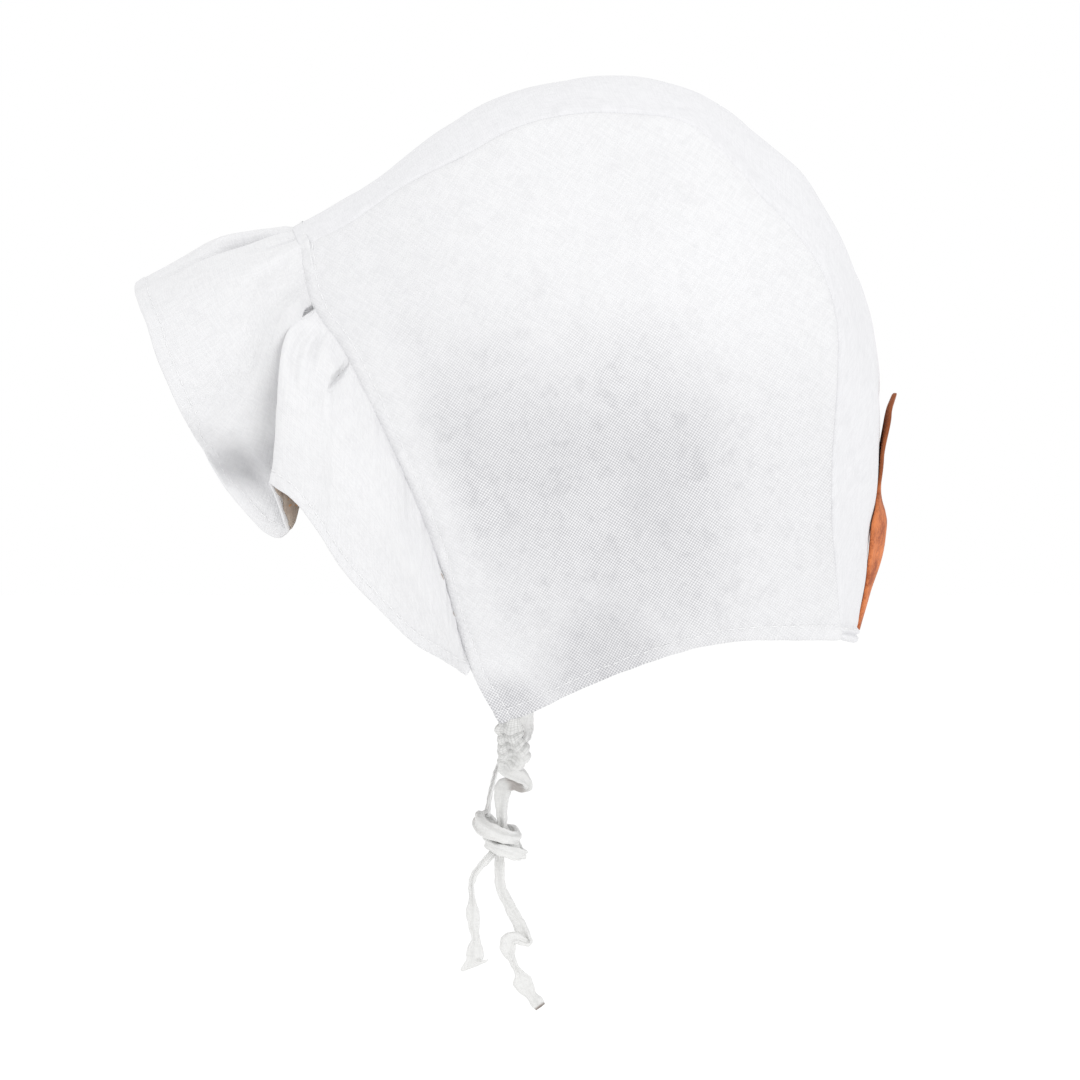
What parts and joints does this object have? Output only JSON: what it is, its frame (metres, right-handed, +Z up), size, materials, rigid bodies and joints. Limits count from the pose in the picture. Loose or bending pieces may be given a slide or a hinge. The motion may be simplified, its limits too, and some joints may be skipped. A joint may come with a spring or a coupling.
{
  "type": "baby sun bonnet",
  "caption": "Linen baby sun bonnet with a gathered face brim, printed brim lining, leather back tab and ties knotted under the chin.",
  "frame": {"origin": "the inside of the crown top, where the wearer's head touches the bonnet", "axes": "+Z up as worn, the face looks along -Y, +X is the wearer's left"},
  "size_m": [0.1335, 0.2152, 0.2603],
  "materials": {
    "linen": "plain woven linen, matt, white",
    "tie_linen": "narrow folded linen tie, white",
    "lining": "printed cotton in taupe, dusty pink and rust",
    "leather": "tan leather, matt, cut edges"
  },
  "bodies": {
    "root": {"crown_gusset": "linen", "side_panel_left": "linen", "side_panel_right": "linen", "brim": "linen", "brim_lining": "lining", "leather_tab": "leather", "tie_left": "tie_linen", "tie_right": "tie_linen", "tie_knot": "tie_linen", "tie_end_left": "tie_linen", "tie_end_right": "tie_linen"}
  },
  "joints": []
}
